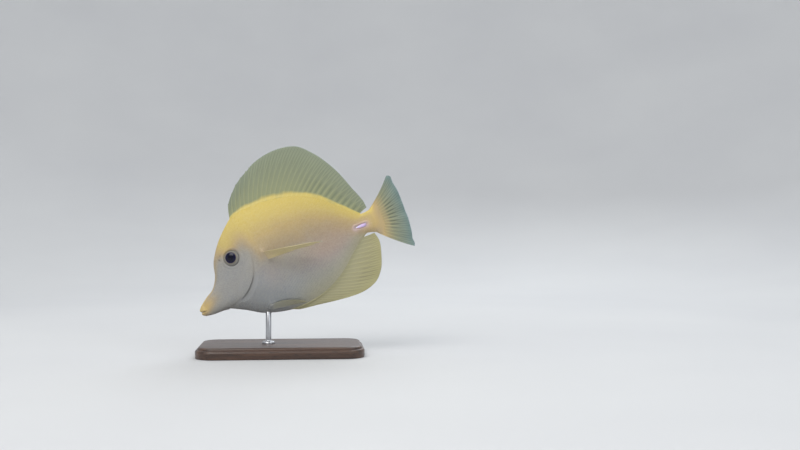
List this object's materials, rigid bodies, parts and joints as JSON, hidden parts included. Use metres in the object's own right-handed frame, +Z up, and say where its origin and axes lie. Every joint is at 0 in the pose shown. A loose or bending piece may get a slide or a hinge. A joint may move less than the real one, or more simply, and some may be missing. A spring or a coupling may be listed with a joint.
{
  "type": "yellow tang display model",
  "caption": "Thin deep-bodied reef fish with tall back fin, pointed snout, fan tail and folded tail spine, held nose-down on a rod above a flat base.",
  "frame": {"origin": "centre of the display base's underside, below the fish's balance point", "axes": "+X from the fish's head towards its tail, the fish being pitched 20 degrees nose-down about Y; +Y to the fish's right; +Z up"},
  "size_m": [0.1556, 0.064, 0.1495],
  "materials": {
    "skin": "satin, finely scaled",
    "lip": "satin",
    "fin": "satin, slightly clear",
    "eye": "wet gloss",
    "spine": "smooth horn",
    "stand_base": "dark satin",
    "stand_rod": "brushed"
  },
  "bodies": {
    "root": {"head": "skin", "upper_lip": "lip", "lower_lip": "lip", "torso": "skin", "tail": "skin", "gill_cover_left": "skin", "gill_cover_right": "skin", "eye_left": "eye", "eye_right": "eye", "tail_spine_left": "spine", "tail_spine_right": "spine", "dorsal_fin": "fin", "anal_fin": "fin", "caudal_fin": "fin", "pectoral_fin_left": "fin", "pectoral_fin_right": "fin", "pelvic_fin_left": "fin", "pelvic_fin_right": "fin", "stand_base": "stand_base", "stand_rod": "stand_rod"}
  },
  "joints": []
}
